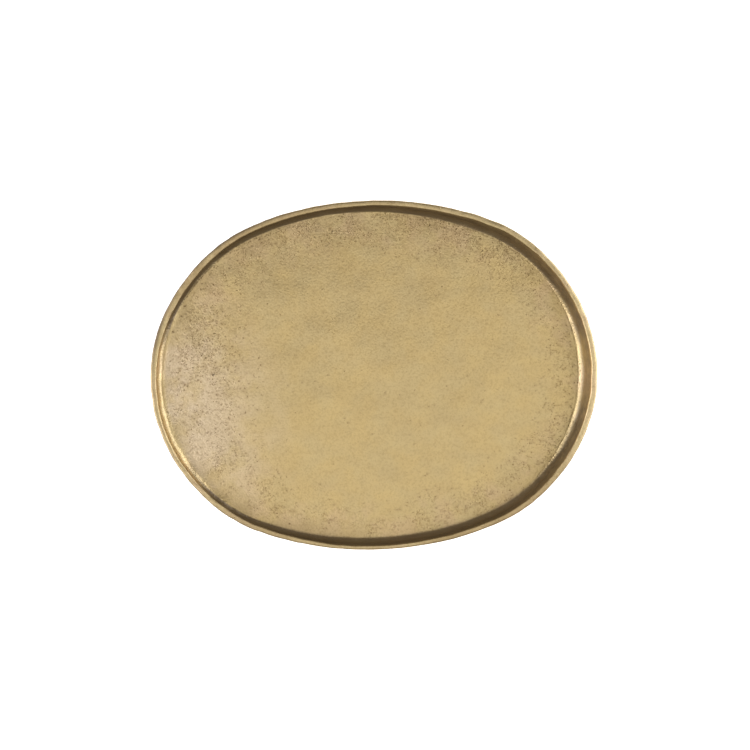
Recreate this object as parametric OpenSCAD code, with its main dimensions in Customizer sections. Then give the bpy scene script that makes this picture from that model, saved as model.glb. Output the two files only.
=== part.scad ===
// Oval cast tray: one casting with a flat floor, a leaning wall and a rounded lip,
// standing on four stick-on felt pads.
// X runs along the length, Y across the width, Z up. The origin is on the resting plane,
// under the middle of the oval.

/* [Oval] */
// Overall length, over the lip
tray_length = 360; // [330:1:400]
// Overall width, over the lip
tray_width = 280; // [268:1:310]
// Radius of each end of the oval, at the outer edge of the lip
end_radius = 130; // [105:1:133]

/* [Casting] */
// Height of the casting, from its underside to the top of the lip
casting_height = 18; // [14:0.5:30]
// Thickness of the floor
floor_thickness = 3; // [2:0.1:5]
// Thickness of the wall, measured level at the lip
lip_thickness = 3.8; // [3:0.1:6]
// How far the wall leans outwards between its foot and the lip
wall_lean = 1.2; // [0.4:0.1:3]
// Rounding of the outer edge of the lip
lip_outer_radius = 1.2; // [0.4:0.1:1.8]
// Rounding of the inner edge of the lip
lip_inner_radius = 0.8; // [0.3:0.1:1.2]
// Radius of the cove between the floor and the wall
cove_radius = 5; // [3:0.1:8]
// Rounding of the outer edge of the underside
base_radius = 3; // [1:0.1:5]

/* [Pads] */
// Diameter of a felt pad
pad_diameter = 16; // [10:0.5:24]
// Thickness of a felt pad
pad_thickness = 2; // [1:0.1:4]
// Rounding of the worn lower edge of a felt pad
pad_edge_radius = 0.4; // [0.2:0.05:0.8]
// Thickness of the adhesive disc that holds a pad
adhesive_thickness = 0.3; // [0.1:0.05:0.6]
// How far the adhesive stays inside the edge of the felt
adhesive_margin = 0.5; // [0.2:0.1:1.5]
// Distance from the outer edge of the lip to the middle of a pad
pad_inset = 30; // [22:1:60]
// Direction of a pad from the centre of its end arc, measured from the length
pad_angle = 40; // [20:1:65]

/* [Hidden] */
$fn = 96;
half_length = tray_length / 2;
half_width = tray_width / 2;

// The oval is drawn from four centres: one for each end and one for each side.
// The side radius is the one that makes the arcs meet without a corner.
end_centre_x = half_length - end_radius;
side_radius = (pow(end_centre_x, 2) + pow(half_width, 2) - pow(end_radius, 2))
    / (2 * (half_width - end_radius));
side_centre_y = side_radius - half_width;

// Two arcs meet on the line through their centres. The join point lies on that line, outside the lip.
wedge_margin = 65;
join_reach = (end_radius + wedge_margin) / (side_radius - end_radius);
join_x = end_centre_x * (1 + join_reach);
join_y = side_centre_y * join_reach;
wedge_x = half_length + wedge_margin;
wedge_y = half_width + wedge_margin;

underside_z = pad_thickness + adhesive_thickness;
// How far a cutting shape stands clear of what it cuts
cut_margin = 1;

corner_signs = [[1, 1], [-1, 1], [-1, -1], [1, -1]];
corner_names = ["rear_right", "rear_left", "front_left", "front_right"];
corners = [0:len(corner_names) - 1];

// What a square corner loses when it is rounded. The arc's centre is at the origin.
module corner_waste(radius) {
    difference() {
        square(radius + cut_margin);
        circle(r = radius);
    }
}

// Section of the casting, from the centre of an arc at x = 0 to the outer edge of the lip at
// x = radius, standing on y = 0
module casting_section(radius) {
    wall_foot = radius - wall_lean;
    inner_lip = radius - lip_thickness;
    inner_foot = wall_foot - lip_thickness;
    cove_top = floor_thickness + cove_radius;
    difference() {
        union() {
            polygon([
                [0, 0],
                [wall_foot, 0],
                [wall_foot, base_radius],
                [radius, casting_height - lip_outer_radius],
                [radius, casting_height],
                [inner_lip, casting_height],
                [inner_lip, casting_height - lip_inner_radius],
                [inner_foot, cove_top],
                [inner_foot, floor_thickness],
                [0, floor_thickness]
            ]);
            difference() {
                translate([inner_foot - cove_radius, floor_thickness])
                    square(cove_radius);
                translate([inner_foot - cove_radius, cove_top])
                    circle(r = cove_radius);
            }
        }
        translate([radius - lip_outer_radius, casting_height - lip_outer_radius])
            corner_waste(lip_outer_radius);
        translate([inner_lip + lip_inner_radius, casting_height - lip_inner_radius])
            mirror([1, 0]) corner_waste(lip_inner_radius);
        translate([wall_foot - base_radius, base_radius])
            mirror([0, 1]) corner_waste(base_radius);
    }
}

// One arc of the oval: the section turned about the arc's centre, cut to its own wedge of the plan
module arc_of_tray(centre, radius, wedge) {
    intersection() {
        translate(centre)
            rotate_extrude()
                casting_section(radius);
        linear_extrude(height = casting_height)
            polygon(wedge);
    }
}

module left_end() {
    arc_of_tray([-end_centre_x, 0], end_radius, [
        [-end_centre_x, 0],
        [-join_x, join_y],
        [-wedge_x, join_y],
        [-wedge_x, -join_y],
        [-join_x, -join_y]
    ]);
}

module rear_side() {
    arc_of_tray([0, -side_centre_y], side_radius, [
        [-end_centre_x, 0],
        [end_centre_x, 0],
        [join_x, join_y],
        [join_x, wedge_y],
        [-join_x, wedge_y],
        [-join_x, join_y]
    ]);
}

module tray_casting() {
    color("#b9a168")
        translate([0, 0, underside_z])
            for (turn = [0, 180])
                rotate([0, 0, turn]) {
                    left_end();
                    rear_side();
                }
}

// Puts a child under the tray where a pad is stuck
module at_pad(i) {
    reach = end_radius - pad_inset;
    translate([
        corner_signs[i].x * (end_centre_x + reach * cos(pad_angle)),
        corner_signs[i].y * reach * sin(pad_angle),
        0
    ])
        children();
}

module felt_pad(i) {
    color("#4a4038")
        at_pad(i)
            rotate_extrude()
                difference() {
                    square([pad_diameter / 2, pad_thickness]);
                    translate([pad_diameter / 2 - pad_edge_radius, pad_edge_radius])
                        mirror([0, 1]) corner_waste(pad_edge_radius);
                }
}

module adhesive_disc(i) {
    color("#d8d2c4")
        at_pad(i)
            translate([0, 0, pad_thickness])
                cylinder(d = pad_diameter - 2 * adhesive_margin, h = adhesive_thickness);
}

tray_casting();
for (i = corners) {
    felt_pad(i);
    adhesive_disc(i);
}
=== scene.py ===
# %% [markdown]
# # An oval tray of cast brass
#
# The real tray is one sand casting: a flat floor, a low wall that leans out a little, and a lip that was
# ground round by hand. It stands on four stick-on felt pads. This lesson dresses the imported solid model.
# The casting is made again with the wander and the pits of a real one, the pads become felt, and the
# adhesive discs over the pads keep their solid shape and only get a finish.

# %% Load the frame
import math
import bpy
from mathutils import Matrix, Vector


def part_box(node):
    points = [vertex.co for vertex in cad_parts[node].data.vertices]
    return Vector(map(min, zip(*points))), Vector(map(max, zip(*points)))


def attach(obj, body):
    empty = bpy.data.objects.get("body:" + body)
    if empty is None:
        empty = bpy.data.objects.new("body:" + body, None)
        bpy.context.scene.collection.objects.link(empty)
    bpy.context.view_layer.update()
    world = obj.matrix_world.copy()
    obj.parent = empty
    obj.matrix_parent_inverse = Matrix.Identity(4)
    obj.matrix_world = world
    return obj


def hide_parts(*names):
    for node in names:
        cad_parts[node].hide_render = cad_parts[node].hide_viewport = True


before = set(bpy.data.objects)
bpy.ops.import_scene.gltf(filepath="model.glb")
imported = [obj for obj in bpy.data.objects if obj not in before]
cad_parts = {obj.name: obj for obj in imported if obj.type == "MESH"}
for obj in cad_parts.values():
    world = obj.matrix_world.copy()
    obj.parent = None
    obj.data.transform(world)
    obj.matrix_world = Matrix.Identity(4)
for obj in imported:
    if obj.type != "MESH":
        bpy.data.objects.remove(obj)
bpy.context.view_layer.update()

from types import SimpleNamespace

import bmesh
import bpy
from mathutils import Matrix, Quaternion, Vector

MM = 0.001

# %% [markdown]
# ## Helpers for node trees
#
# A material and a Geometry Nodes modifier are both trees of nodes, so one small function builds either.
# It adds a node, sets its options, and sets or links its inputs, by name or by number. Two nodes come up
# often. A Map Range takes a value at 0, reads it between the values at 1 and 2, and gives what lies as far
# between those at 3 and 4. Each of these pairs is 0 and 1 where it isn't set. A Mix of colours takes its
# share at 0 and its two colours at 6 and 7. Colours are written as sRGB hex, the way a picture editor shows
# them. A shader wants linear light, so a second function converts them.


# %% Node and colour helpers
def put(tree, kind, inputs=None, **settings):
    """Adds a node. An input takes a plain value, a socket, or a node, which stands for its first output."""
    node = tree.nodes.new(kind)
    for name, value in settings.items():
        setattr(node, name, value)
    for key, value in (inputs or {}).items():
        source = value.outputs[0] if isinstance(value, bpy.types.Node) else value
        if isinstance(source, bpy.types.NodeSocket):
            tree.links.new(source, node.inputs[key])
        else:
            node.inputs[key].default_value = source
    return node


def linear(hex_colour):
    """Turns an sRGB hex colour into linear RGBA."""
    parts = [int(hex_colour[i:i + 2], 16) / 255 for i in (1, 3, 5)]
    return [c / 12.92 if c <= 0.04045 else ((c + 0.055) / 1.055) ** 2.4 for c in parts] + [1.0]


def new_material(name):
    """An empty node material, and its tree."""
    material = bpy.data.materials.new(name)
    material.use_nodes = True
    material.node_tree.nodes.clear()
    return material, material.node_tree


print("mid grey in linear light:", round(linear("#808080")[0], 3))

# %% [markdown]
# ## Sizes
#
# The width and the heights are read from the frame, so the dressed casting is as wide and high as the solid
# one. The length is written out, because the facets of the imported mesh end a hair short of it. The other
# sizes are the casting's own: the radius of its ends, the thickness of the metal, and the roundings of its
# section. The oval has four centres, so two arcs meet where they share a tangent, and the radius of the
# long sides follows from the rest.

# %% Sizes of the casting
casting_low, casting_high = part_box("tray_casting")
HALF_LENGTH = 180 * MM
HALF_WIDTH = casting_high[1]
UNDERSIDE_Z = casting_low[2]
LIP_Z = casting_high[2]

END_RADIUS = 130 * MM
FLOOR_THICKNESS = 3 * MM
LIP_THICKNESS = 3.8 * MM
WALL_LEAN = 1.2 * MM
LIP_OUTER_RADIUS = 1.4 * MM
LIP_INNER_RADIUS = 1.0 * MM
COVE_RADIUS = 7 * MM
# the angle in degrees at which the cove meets the floor, and the strip of floor beside it that is swept too
FOOT_SLOPE = 20
FOOT_BAND = 5 * MM
BASE_RADIUS = 3 * MM

FLOOR_Z = UNDERSIDE_Z + FLOOR_THICKNESS
COVE_INSET = LIP_THICKNESS + WALL_LEAN + COVE_RADIUS * (1 - math.sin(math.radians(FOOT_SLOPE)))
RAIL_INSET = COVE_INSET + FOOT_BAND
END_CENTRE_X = HALF_LENGTH - END_RADIUS
SIDE_RADIUS = (END_CENTRE_X**2 + HALF_WIDTH**2 - END_RADIUS**2) / (2 * (HALF_WIDTH - END_RADIUS))
SIDE_CENTRE_Y = SIDE_RADIUS - HALF_WIDTH
print(f"side radius {SIDE_RADIUS / MM:.1f} mm, floor at {FLOOR_Z / MM:.1f} mm, lip at {LIP_Z / MM:.1f} mm")

# %% [markdown]
# ## Cast brass
#
# Sand-cast brass leaves the mould with a dull, pitted, pinkish skin. The maker rubs the floor and the lip
# down to yellow metal and washes the whole casting dark, so the wash stays in the pits and on the wall
# where a rubbing pad doesn't reach. The eye gets satin metal in clouds of olive and pinkish tan, dark specks
# that crowd towards the rim, and a brown wall. A picture wrapped over the tray would blur close up, so the
# finish is worked out from a few patterns. Colour, roughness and bump share them, and so a speck is dark,
# dull and sunk in one place. Object coordinates come in metres and are turned to millimetres first, so a
# pattern's scale is one over its size in millimetres. Three attributes of the mesh help: the distance
# from the rim, that distance less what the foot of the wall reaches in, and the pits cut in the mesh.

# %% Patterns of the brass
CLOUD_MM = 55
MOTTLE_MM = 20
CLUSTER_MM = 9
STREAK_MM = 7
GRAIN_MM = 1.5
RUBBING = (0.25, 1, 1)


def brass_surface(tree):
    """What is known at a point of the brass: its place, the mesh's attributes and the shared patterns."""
    at = SimpleNamespace()
    at.point = put(tree, "ShaderNodeTexCoord").outputs["Object"]
    at.x, at.y, at.z = put(tree, "ShaderNodeSeparateXYZ", {0: at.point}).outputs
    at.mm = put(tree, "ShaderNodeVectorMath", {0: at.point, "Scale": 1 / MM}, operation="SCALE")
    at.rim_gap = put(tree, "ShaderNodeAttribute", attribute_name="rim_gap").outputs["Fac"]
    at.foot_gap = put(tree, "ShaderNodeAttribute", attribute_name="foot_gap").outputs["Fac"]
    at.pit = put(tree, "ShaderNodeAttribute", attribute_name="pit").outputs["Fac"]
    at.cloud = put(tree, "ShaderNodeTexNoise", {"Vector": at.mm, "Scale": 1 / CLOUD_MM, "Detail": 4})
    at.cluster = put(tree, "ShaderNodeTexNoise", {"Vector": at.mm, "Scale": 1 / CLUSTER_MM, "Detail": 3})
    at.grain = put(tree, "ShaderNodeTexNoise", {"Vector": at.mm, "Scale": 1 / GRAIN_MM, "Detail": 2})
    rubbed = put(tree, "ShaderNodeVectorMath", {0: at.mm, 1: RUBBING}, operation="MULTIPLY")
    at.streak = put(tree, "ShaderNodeTexNoise", {"Vector": rubbed, "Scale": 1 / STREAK_MM, "Detail": 4})
    mottle = put(tree, "ShaderNodeTexNoise", {"Vector": at.mm, "Scale": 1 / MOTTLE_MM, "Detail": 5})
    at.olive, at.dirty, at.rosy = put(tree, "ShaderNodeSeparateColor", {0: mottle.outputs["Color"]}).outputs
    # how strongly the sand's grain shows, a little more at the back
    at.grit = put(tree, "ShaderNodeMapRange", {0: at.y, 1: -0.2 * HALF_WIDTH, 2: 0.3 * HALF_WIDTH,
                                               3: 0.34, 4: 0.43})
    return at


print("patterns of", CLOUD_MM, MOTTLE_MM, CLUSTER_MM, STREAK_MM, "and", GRAIN_MM, "mm")

# %% [markdown]
# ### Skin
#
# The rubbing pad leaves the dull skin in a ragged band inside the rim. The band is broadest at the left,
# where the casting has a crowd of pits that is drawn out from the back left towards the front. The far left
# end is palest: partly skin that was rubbed least, partly a painted reflection of the light from the left.
# The right end is calm. The measures for the crowd and for the calm end are functions, because the same ones
# say later where pits are cut.

# %% Skin, crowd and pale end
CROWD_MM = (-137, 21, 0)
CROWD_TURN = 45
CROWD_SQUEEZE = (0.7, 1.25, 0)
CROWD_NEAR_MM = 40
CROWD_FAR_MM = 110
PALE_SPOT_MM = (-190, -32, 0)
PALE_NEAR_MM = 40
PALE_FAR_MM = 128
# how far from the rim the skin is whole, where it ends, where it ends by the crowd, and how ragged that is
SKIN_WHOLE = 45 * MM
SKIN_END = 75 * MM
SKIN_END_BY_CROWD = 125 * MM
SKIN_RAGGED = 60 * MM


def from_crowd(tree, mm):
    """The distance in millimetres from the crowd of pits, counted shorter along it than across it."""
    apart = put(tree, "ShaderNodeVectorMath", {0: mm, 1: CROWD_MM}, operation="SUBTRACT")
    along = put(tree, "ShaderNodeVectorRotate", {"Vector": apart, "Angle": math.radians(CROWD_TURN)},
                rotation_type="Z_AXIS")
    drawn = put(tree, "ShaderNodeVectorMath", {0: along, 1: CROWD_SQUEEZE}, operation="MULTIPLY")
    return put(tree, "ShaderNodeVectorMath", {0: drawn}, operation="LENGTH").outputs["Value"]


def calm_right(tree, point, least):
    """A share that falls to the least towards the right end, most of all at the back."""
    rightwards = put(tree, "ShaderNodeVectorMath", {0: point, 1: (1, 0.3, 0)}, operation="DOT_PRODUCT")
    return put(tree, "ShaderNodeMapRange", {0: rightwards.outputs["Value"], 1: 0.6 * HALF_LENGTH,
                                            2: 0.92 * HALF_LENGTH, 3: 1.0, 4: least})


def dull_skin(tree, at):
    """Where the skin is left. The clouds make the edge of the band ragged."""
    ragged = put(tree, "ShaderNodeMath", {0: at.cloud, 1: SKIN_RAGGED, 2: at.rim_gap},
                 operation="MULTIPLY_ADD")
    end = put(tree, "ShaderNodeMapRange", {0: from_crowd(tree, at.mm), 1: CROWD_FAR_MM, 2: CROWD_NEAR_MM,
                                           3: SKIN_END, 4: SKIN_END_BY_CROWD})
    return put(tree, "ShaderNodeMapRange", {0: ragged, 1: end, 2: SKIN_WHOLE},
               interpolation_type="SMOOTHSTEP")


def pale_skin_and_reflection(tree, at):
    """How pale the left end is painted, in patches: skin and a painted reflection of the left light."""
    apart = put(tree, "ShaderNodeVectorMath", {0: at.mm, 1: PALE_SPOT_MM}, operation="DISTANCE")
    pale = put(tree, "ShaderNodeMapRange", {0: apart.outputs["Value"], 1: PALE_FAR_MM, 2: PALE_NEAR_MM})
    patchy = put(tree, "ShaderNodeMapRange", {0: at.rosy, 1: 0.36, 2: 0.56, 3: 0.35, 4: 1.0})
    inside = put(tree, "ShaderNodeMapRange", {0: at.foot_gap, 1: COVE_INSET, 2: COVE_INSET + 3 * MM})
    for factor in (patchy, inside):
        pale = put(tree, "ShaderNodeMath", {0: pale, 1: factor}, operation="MULTIPLY")
    return pale


print("crowd of pits round", CROWD_MM, "mm, pale end round", PALE_SPOT_MM, "mm")

# %% [markdown]
# ### Specks
#
# Most specks are too small for the mesh, so they are coloured and bumped, and only the larger pits are cut.
# A Voronoi pattern is split into cells, each with a chance of its own. A cell gets a speck if its chance
# is good enough for the place, so the specks crowd in clusters on the skin. Between them the valleys of
# the sand's grain are dark too, but less.

# %% Specks and valleys
SPECK_MM = 2.0


def speck_crowding(tree, at, skin):
    """How crowded the specks are: most in the clusters on the skin, less by the foot of the wall."""
    crowded = put(tree, "ShaderNodeMapRange", {0: at.cluster, 1: 0.43, 2: 0.6, 3: 0.1, 4: 1.1})
    least = put(tree, "ShaderNodeMapRange", {0: at.x, 1: -0.6 * HALF_LENGTH, 2: 0.3 * HALF_LENGTH,
                                             3: 0.3, 4: 0.65})
    by_foot = put(tree, "ShaderNodeMapRange", {0: at.foot_gap, 1: COVE_INSET, 2: COVE_INSET + 11 * MM,
                                               3: least, 4: 1.0})
    for factor in (skin, by_foot, calm_right(tree, at.point, 0.5)):
        crowded = put(tree, "ShaderNodeMath", {0: crowded, 1: factor}, operation="MULTIPLY")
    return crowded


def specks(tree, at, crowded):
    """A soft spot in each cell that gets a speck. The grain shakes its outline."""
    shaken = put(tree, "ShaderNodeVectorMath", {0: at.grain.outputs["Color"], 1: at.mm}, operation="ADD")
    cells = put(tree, "ShaderNodeTexVoronoi", {"Vector": shaken, "Scale": 1 / SPECK_MM})
    chance = put(tree, "ShaderNodeSeparateColor", {0: cells.outputs["Color"]})
    share = put(tree, "ShaderNodeMapRange", {0: crowded, 3: 0.06, 4: 0.72})
    chosen = put(tree, "ShaderNodeMath", {0: share, 1: chance}, operation="SUBTRACT")
    radius = put(tree, "ShaderNodeMapRange", {0: chosen, 1: 0.0, 2: 0.5, 3: 0.0, 4: 0.5})
    deep = put(tree, "ShaderNodeMath", {0: radius, 1: cells.outputs["Distance"]}, operation="SUBTRACT")
    return put(tree, "ShaderNodeMapRange", {0: deep, 1: 0.0, 2: 0.2, 3: 0.0, 4: 0.7},
               interpolation_type="SMOOTHSTEP")


def sunk_places(tree, at, crowded, speck):
    """Where the surface lies low and keeps the wash: specks, cut pits and valleys of the grain."""
    valley = put(tree, "ShaderNodeMapRange", {0: at.grain, 1: 0.55, 2: 0.3})
    coarse = put(tree, "ShaderNodeMapRange", {0: crowded, 3: at.grit, 4: 0.78})
    valley = put(tree, "ShaderNodeMath", {0: valley, 1: coarse}, operation="MULTIPLY")
    hollow = put(tree, "ShaderNodeMath", {0: at.pit, 1: 0.7}, operation="MULTIPLY")
    sunk = speck
    for other in (hollow, valley):
        sunk = put(tree, "ShaderNodeMath", {0: sunk, 1: other}, operation="MAXIMUM")
    return sunk


print("one cell for a speck every", SPECK_MM, "mm")

# %% [markdown]
# ### Wash, dirt and painted shade
#
# The dark wash stays on the inner face of the wall, below the lip. At the back it ends in a crisp line at
# the foot of the wall. Along the front the same dark colour runs a little out over the floor, as a painted
# shadow at the foot. Both ends are rubbed barer, the left one most. A little wash is left outside the lip at
# the back left. Thin dirt dulls the rest: streaks along the way of the rubbing, one old smudge, and a dull
# stretch of lip. The same dull colour also paints shade on the floor by the foot of the long walls.


# %% Wash, and a painted shadow at the front foot
def wall_face(tree, at):
    """The inner face of the wall, which fades in from its foot upwards, most slowly at the right end.
    Along the front it starts a little out on the floor, as a painted shadow.
    """
    sideways = put(tree, "ShaderNodeMath", {0: at.x, 1: 0.14 * HALF_LENGTH}, operation="SUBTRACT")
    sideways = put(tree, "ShaderNodeMath", {0: sideways}, operation="ABSOLUTE")
    # along the front the dark colour starts up to 1.7 mm out on the floor, as a painted shadow at the foot
    front_shadow_reach = put(tree, "ShaderNodeMapRange", {0: sideways, 1: 0.7 * HALF_LENGTH, 2: 0.5 * HALF_LENGTH,
                                                 3: COVE_INSET, 4: COVE_INSET + 1.7 * MM})
    wash_and_shadow_start = put(tree, "ShaderNodeMapRange", {0: at.y, 1: 0.0, 2: -0.6 * HALF_WIDTH,
                                                3: COVE_INSET, 4: front_shadow_reach})
    up_wall = put(tree, "ShaderNodeMapRange", {0: at.x, 1: 0.78 * HALF_LENGTH, 2: 0.9 * HALF_LENGTH,
                                               3: COVE_INSET - 1.3 * MM, 4: COVE_INSET - 5 * MM})
    up_wall = put(tree, "ShaderNodeMapRange", {0: at.x, 1: 0.93 * HALF_LENGTH, 2: 0.98 * HALF_LENGTH,
                                               3: up_wall, 4: COVE_INSET - 9 * MM})
    wall = put(tree, "ShaderNodeMapRange", {0: at.foot_gap, 1: wash_and_shadow_start, 2: up_wall},
               interpolation_type="SMOOTHSTEP")
    below_lip = put(tree, "ShaderNodeMapRange", {0: at.z, 1: LIP_Z - 0.8 * MM, 2: LIP_Z - 1.5 * MM})
    inner = put(tree, "ShaderNodeMapRange", {0: at.rim_gap, 1: 1.5 * MM, 2: 2.5 * MM})
    for factor in (below_lip, inner):
        wall = put(tree, "ShaderNodeMath", {0: wall, 1: factor}, operation="MULTIPLY")
    return wall


def wash_left(tree, at, wall):
    """How much wash is left: on the wall, in streaks, and outside the lip at the back left."""
    leftwards = put(tree, "ShaderNodeVectorMath", {0: at.point, 1: (-1, -0.2, 0)}, operation="DOT_PRODUCT")
    worn_left = put(tree, "ShaderNodeMapRange", {0: leftwards.outputs["Value"], 1: 0.85 * HALF_LENGTH,
                                                 2: 0.92 * HALF_LENGTH, 3: 0.9, 4: 0.2},
                    interpolation_type="SMOOTHSTEP")
    worn_right = put(tree, "ShaderNodeMapRange", {0: at.x, 1: 0.9 * HALF_LENGTH, 2: 0.98 * HALF_LENGTH,
                                                  3: 0.95, 4: 0.75}, interpolation_type="SMOOTHSTEP")
    worn = put(tree, "ShaderNodeMath", {0: worn_left, 1: worn_right}, operation="MINIMUM")
    streaky = put(tree, "ShaderNodeMapRange", {0: at.streak, 1: 0.3, 2: 0.7, 3: -0.1, 4: 0.1})
    streaky = put(tree, "ShaderNodeMath", {0: worn, 1: streaky}, operation="ADD")
    wash = put(tree, "ShaderNodeMath", {0: wall, 1: streaky}, operation="MULTIPLY")
    outside = put(tree, "ShaderNodeMapRange", {0: at.rim_gap, 1: 2.8 * MM, 2: 0.7 * MM})
    at_left = put(tree, "ShaderNodeMapRange", {0: at.x, 1: -0.2 * HALF_LENGTH, 2: -0.7 * HALF_LENGTH})
    at_back = put(tree, "ShaderNodeMapRange", {0: at.y, 1: 0.0, 2: 0.25 * HALF_WIDTH, 3: 0.3, 4: 0.95})
    for factor in (at_left, at_back):
        outside = put(tree, "ShaderNodeMath", {0: outside, 1: factor}, operation="MULTIPLY")
    return put(tree, "ShaderNodeMath", {0: wash, 1: outside}, operation="MAXIMUM")


print("wash on the wall from", round(COVE_INSET / MM, 1), "mm inside the rim")

# %% Dirt and painted shade
SMUDGE_MM = (14, 38, 0)
SMUDGE_HALF_WIDTH_MM = 9
SMUDGE_HALF_LENGTH_MM = 32


def old_smudge(tree, at):
    """A narrow smudge on the floor with a ragged edge."""
    apart = put(tree, "ShaderNodeVectorMath", {0: at.mm, 1: SMUDGE_MM}, operation="SUBTRACT")
    apart = put(tree, "ShaderNodeVectorMath",
                {0: apart, 1: (1 / SMUDGE_HALF_WIDTH_MM, 1 / SMUDGE_HALF_LENGTH_MM, 0)}, operation="MULTIPLY")
    apart = put(tree, "ShaderNodeVectorMath", {0: apart, 1: at.dirty}, operation="ADD")
    apart = put(tree, "ShaderNodeVectorMath", {0: apart}, operation="LENGTH")
    return put(tree, "ShaderNodeMapRange", {0: apart.outputs["Value"], 1: 1.0, 2: 0.2, 3: 0.0, 4: 0.09},
               interpolation_type="SMOOTHSTEP")


def painted_foot_shade(tree, at):
    """Painted shade on the floor by the foot of the long walls, most at the left."""
    foot_shade = put(tree, "ShaderNodeMapRange", {0: at.foot_gap, 1: COVE_INSET + 18 * MM, 2: COVE_INSET + 4 * MM,
                                             3: 0.0, 4: 0.5})
    aside = put(tree, "ShaderNodeMath", {0: at.x}, operation="ABSOLUTE")
    aside = put(tree, "ShaderNodeMath", {0: at.y, 1: -0.25, 2: aside}, operation="MULTIPLY_ADD")
    off_ends = put(tree, "ShaderNodeMapRange", {0: aside, 1: 0.95 * HALF_LENGTH, 2: 0.7 * HALF_LENGTH})
    more_left = put(tree, "ShaderNodeMapRange", {0: at.x, 1: 0.2 * HALF_LENGTH, 2: -0.4 * HALF_LENGTH,
                                                 3: 0.4, 4: 1.0})
    uneven = put(tree, "ShaderNodeMapRange", {0: at.dirty, 1: 0.38, 2: 0.58, 3: 0.4, 4: 1.0})
    for factor in (off_ends, more_left, uneven):
        foot_shade = put(tree, "ShaderNodeMath", {0: foot_shade, 1: factor}, operation="MULTIPLY")
    return foot_shade


def thin_dirt_and_shade(tree, at, lip):
    """All the thin dirt, and the painted shade by the foot. The dull stretch of lip lies at the front right.
    """
    dirt = put(tree, "ShaderNodeMapRange", {0: at.streak, 1: 0.35, 2: 0.65, 3: 0.0, 4: 0.12})
    dirt = put(tree, "ShaderNodeMath", {0: at.dirty, 1: 0.4, 2: dirt}, operation="MULTIPLY_ADD")
    front_right = put(tree, "ShaderNodeVectorMath", {0: at.point, 1: (0.5, -1, 0)}, operation="DOT_PRODUCT")
    dull_lip = put(tree, "ShaderNodeMapRange", {0: front_right.outputs["Value"], 1: 145 * MM, 2: 158 * MM,
                                                3: 0.0, 4: 0.5})
    dull_lip = put(tree, "ShaderNodeMath", {0: dull_lip, 1: lip}, operation="MULTIPLY")
    # the painted shade by the foot of the long walls is added in with the dirt
    for other in (old_smudge(tree, at), painted_foot_shade(tree, at), dull_lip):
        dirt = put(tree, "ShaderNodeMath", {0: dirt, 1: other}, operation="ADD")
    return dirt


print("smudge at", SMUDGE_MM, "mm")

# %% [markdown]
# ### The whole finish
#
# The colours are laid one over another, mostly in the order in which they came to be: metal, skin, dirt,
# wash, and last the stain in everything that is sunk. Painted light goes in among them: a painted highlight
# that makes the lip paler, a painted reflection in the pale left end, and painted shade by the foot of the
# long walls. Wash hides the metal, so it also takes away part of the metallic share. The grain and the
# specks are too low for the mesh, and go into the bump.

# %% Cast brass material
YELLOW_BRASS = "#C8B07B"
OLIVE_BRASS = "#C4AF7F"
# the lip: paler polished brass, and a painted highlight that whitens it
LIP_BRASS_AND_HIGHLIGHT = "#CCB88A"
ROSY_SKIN = "#C6A98A"
# the pale end: skin, and a painted reflection of the light from the left
PALE_SKIN_AND_REFLECTION = "#D9C6A8"
# dull brass for the thin dirt, and for the painted shade by the foot of the long walls
DULL_DIRT_AND_SHADE = "#A8926A"
BROWN_WASH = "#655439"
DRY_WASH = "#4A4134"
PIT_STAIN = "#6A5024"


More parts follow.
